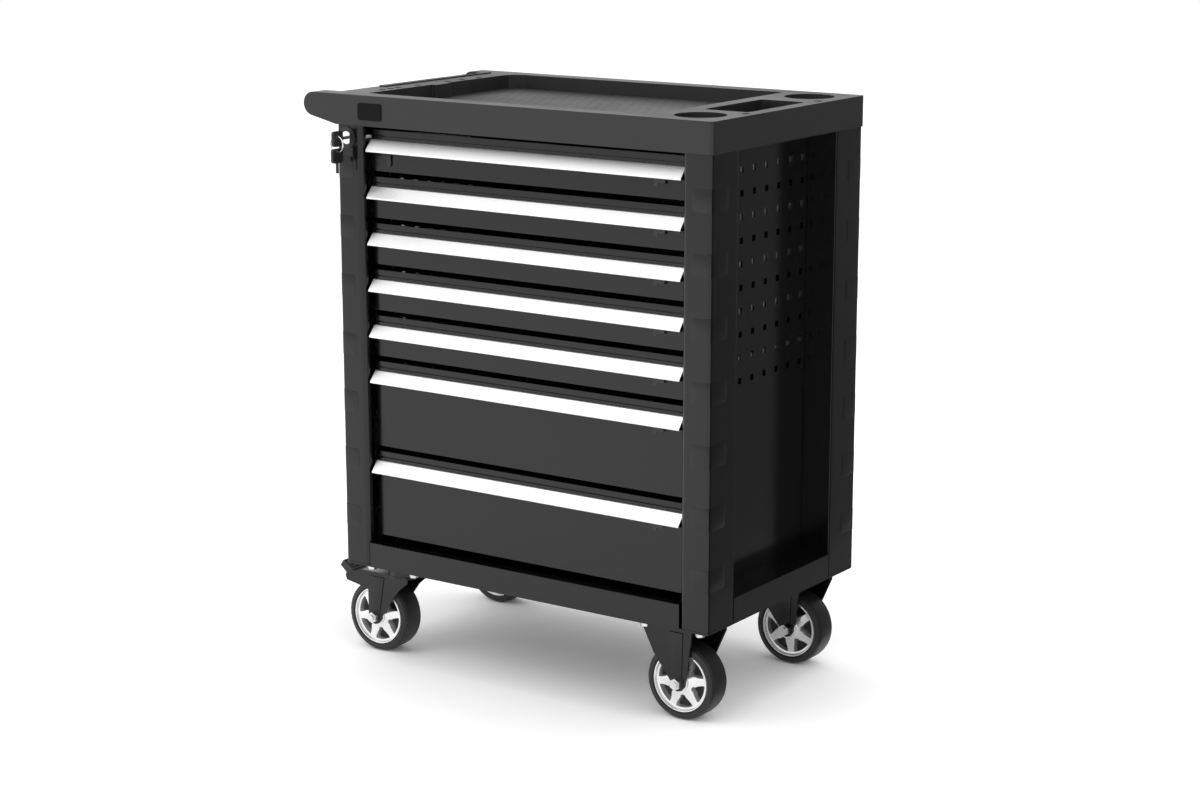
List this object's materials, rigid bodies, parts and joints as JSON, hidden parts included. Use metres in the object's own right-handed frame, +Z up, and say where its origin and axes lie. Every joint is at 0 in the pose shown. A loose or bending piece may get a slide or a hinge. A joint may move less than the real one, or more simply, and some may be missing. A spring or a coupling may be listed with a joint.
{
  "type": "tool cart",
  "caption": "Black steel tool cart with drawers behind inclined aluminium pulls, a moulded top tray with a push handle, a key lock, and swivel and fixed casters.",
  "frame": {"origin": "on the floor, under the middle of the whole cart's outline seen from above", "axes": "+Z up, +Y towards the cart's back, +X to the right seen from the drawers' side; the push handle is on the -X side"},
  "size_m": [0.8101, 0.5128, 0.978],
  "materials": {
    "black_paint": "semi-gloss black paint",
    "tray_plastic": "fine grain",
    "black_plastic": "satin",
    "rubber": "ribbed and dull",
    "tyre_rubber": "dull",
    "rim_plastic": "satin silver-grey",
    "aluminium": "satin anodised",
    "chrome": "polished",
    "zinc": "bright zinc plate"
  },
  "bodies": {
    "cabinet": {"base_frame": "black_paint", "post_front_left": "black_paint", "post_front_right": "black_paint", "post_rear_left": "black_paint", "post_rear_right": "black_paint", "side_panel_left": "black_paint", "side_panel_right": "black_paint", "back_panel": "black_paint", "slide_rack_left": "zinc", "slide_rack_right": "zinc", "top_tray": "tray_plastic", "tray_mat": "rubber", "blank_badge": "black_plastic", "lock_barrel": "black_plastic", "swivel_mount_front": "black_paint", "swivel_mount_rear": "black_paint", "fixed_bracket_front": "black_paint", "fixed_bracket_rear": "black_paint", "axle_front_right": "zinc", "axle_rear_right": "zinc"},
    "drawer_1": {"drawer_1": "black_paint", "drawer_1_handle": "aluminium"},
    "latch_1": {"drawer_1_latch": "black_plastic"},
    "drawer_2": {"drawer_2": "black_paint", "drawer_2_handle": "aluminium"},
    "latch_2": {"drawer_2_latch": "black_plastic"},
    "drawer_3": {"drawer_3": "black_paint", "drawer_3_handle": "aluminium"},
    "latch_3": {"drawer_3_latch": "black_plastic"},
    "drawer_4": {"drawer_4": "black_paint", "drawer_4_handle": "aluminium"},
    "latch_4": {"drawer_4_latch": "black_plastic"},
    "drawer_5": {"drawer_5": "black_paint", "drawer_5_handle": "aluminium"},
    "latch_5": {"drawer_5_latch": "black_plastic"},
    "drawer_6": {"drawer_6": "black_paint", "drawer_6_handle": "aluminium"},
    "latch_6": {"drawer_6_latch": "black_plastic"},
    "drawer_7": {"drawer_7": "black_paint", "drawer_7_handle": "aluminium"},
    "latch_7": {"drawer_7_latch": "black_plastic"},
    "lock_plug": {"lock_plug": "chrome", "key": "black_plastic"},
    "lock_bar": {"lock_bar": "zinc"},
    "key_ring": {"key_ring": "chrome"},
    "spare_key": {"spare_key": "black_plastic"},
    "swivel_front": {"swivel_fork_front": "black_paint", "axle_front_left": "zinc"},
    "wheel_front_left": {"tyre_front_left": "tyre_rubber", "rim_front_left": "rim_plastic"},
    "wheel_front_right": {"tyre_front_right": "tyre_rubber", "rim_front_right": "rim_plastic"},
    "pedal_front": {"brake_pedal_front": "black_plastic"},
    "swivel_rear": {"swivel_fork_rear": "black_paint", "axle_rear_left": "zinc"},
    "wheel_rear_left": {"tyre_rear_left": "tyre_rubber", "rim_rear_left": "rim_plastic"},
    "wheel_rear_right": {"tyre_rear_right": "tyre_rubber", "rim_rear_right": "rim_plastic"},
    "pedal_rear": {"brake_pedal_rear": "black_plastic"}
  },
  "joints": [
    {"name": "drawer_1_slide", "type": "slide", "parent": "cabinet", "child": "drawer_1", "axis": [0, -1, 0], "range_m": [0, 0.35]},
    {"name": "latch_1_slide", "type": "slide", "parent": "drawer_1", "child": "latch_1", "axis": [-1, 0, 0], "range_m": [0, 0.008], "stiffness_N_per_m": 300, "springref_m": -0.002},
    {"name": "drawer_2_slide", "type": "slide", "parent": "cabinet", "child": "drawer_2", "axis": [0, -1, 0], "range_m": [0, 0.35]},
    {"name": "latch_2_slide", "type": "slide", "parent": "drawer_2", "child": "latch_2", "axis": [-1, 0, 0], "range_m": [0, 0.008], "stiffness_N_per_m": 300, "springref_m": -0.002},
    {"name": "drawer_3_slide", "type": "slide", "parent": "cabinet", "child": "drawer_3", "axis": [0, -1, 0], "range_m": [0, 0.35]},
    {"name": "latch_3_slide", "type": "slide", "parent": "drawer_3", "child": "latch_3", "axis": [-1, 0, 0], "range_m": [0, 0.008], "stiffness_N_per_m": 300, "springref_m": -0.002},
    {"name": "drawer_4_slide", "type": "slide", "parent": "cabinet", "child": "drawer_4", "axis": [0, -1, 0], "range_m": [0, 0.35]},
    {"name": "latch_4_slide", "type": "slide", "parent": "drawer_4", "child": "latch_4", "axis": [-1, 0, 0], "range_m": [0, 0.008], "stiffness_N_per_m": 300, "springref_m": -0.002},
    {"name": "drawer_5_slide", "type": "slide", "parent": "cabinet", "child": "drawer_5", "axis": [0, -1, 0], "range_m": [0, 0.35]},
    {"name": "latch_5_slide", "type": "slide", "parent": "drawer_5", "child": "latch_5", "axis": [-1, 0, 0], "range_m": [0, 0.008], "stiffness_N_per_m": 300, "springref_m": -0.002},
    {"name": "drawer_6_slide", "type": "slide", "parent": "cabinet", "child": "drawer_6", "axis": [0, -1, 0], "range_m": [0, 0.35]},
    {"name": "latch_6_slide", "type": "slide", "parent": "drawer_6", "child": "latch_6", "axis": [-1, 0, 0], "range_m": [0, 0.008], "stiffness_N_per_m": 300, "springref_m": -0.002},
    {"name": "drawer_7_slide", "type": "slide", "parent": "cabinet", "child": "drawer_7", "axis": [0, -1, 0], "range_m": [0, 0.35]},
    {"name": "latch_7_slide", "type": "slide", "parent": "drawer_7", "child": "latch_7", "axis": [-1, 0, 0], "range_m": [0, 0.008], "stiffness_N_per_m": 300, "springref_m": -0.002},
    {"name": "lock_turn", "type": "hinge", "parent": "cabinet", "child": "lock_plug", "pos_m": [-0.3124, -0.21563, 0.904], "axis": [0, 1, 0], "range_deg": [0, 90]},
    {"name": "lock_bar_lift", "type": "slide", "parent": "cabinet", "child": "lock_bar", "axis": [0, 0, 1], "range_m": [0, 0.0113]},
    {"name": "key_ring_swing", "type": "hinge", "parent": "lock_plug", "child": "key_ring", "pos_m": [-0.3124, -0.24363, 0.9085], "axis": [1, 0, 0], "range_deg": [-6, 6]},
    {"name": "spare_key_swing", "type": "hinge", "parent": "key_ring", "child": "spare_key", "pos_m": [-0.3124, -0.24363, 0.8819], "axis": [1, 0, 0], "range_deg": [-6, 6]},
    {"name": "swivel_front_turn", "type": "hinge", "parent": "cabinet", "child": "swivel_front", "pos_m": [-0.2519, -0.15263, 0.1445], "axis": [0, 0, 1], "continuous": true},
    {"name": "wheel_front_left_spin", "type": "hinge", "parent": "swivel_front", "child": "wheel_front_left", "pos_m": [-0.3019, -0.15263, 0.0635], "axis": [0, 1, 0], "continuous": true},
    {"name": "pedal_front_press", "type": "hinge", "parent": "swivel_front", "child": "pedal_front", "pos_m": [-0.3419, -0.15263, 0.1295], "axis": [0, -1, 0], "range_deg": [0, 15]},
    {"name": "wheel_front_right_spin", "type": "hinge", "parent": "cabinet", "child": "wheel_front_right", "pos_m": [0.3261, -0.15263, 0.0635], "axis": [0, 1, 0], "continuous": true},
    {"name": "swivel_rear_turn", "type": "hinge", "parent": "cabinet", "child": "swivel_rear", "pos_m": [-0.2519, 0.19137, 0.1445], "axis": [0, 0, 1], "continuous": true},
    {"name": "wheel_rear_left_spin", "type": "hinge", "parent": "swivel_rear", "child": "wheel_rear_left", "pos_m": [-0.3019, 0.19137, 0.0635], "axis": [0, 1, 0], "continuous": true},
    {"name": "pedal_rear_press", "type": "hinge", "parent": "swivel_rear", "child": "pedal_rear", "pos_m": [-0.3419, 0.19137, 0.1295], "axis": [0, -1, 0], "range_deg": [0, 15]},
    {"name": "wheel_rear_right_spin", "type": "hinge", "parent": "cabinet", "child": "wheel_rear_right", "pos_m": [0.3261, 0.19137, 0.0635], "axis": [0, 1, 0], "continuous": true}
  ],
  "couplings": [
    {"joint": "lock_turn", "follows": "lock_bar_lift", "rad_per_m": 138.84}
  ]
}
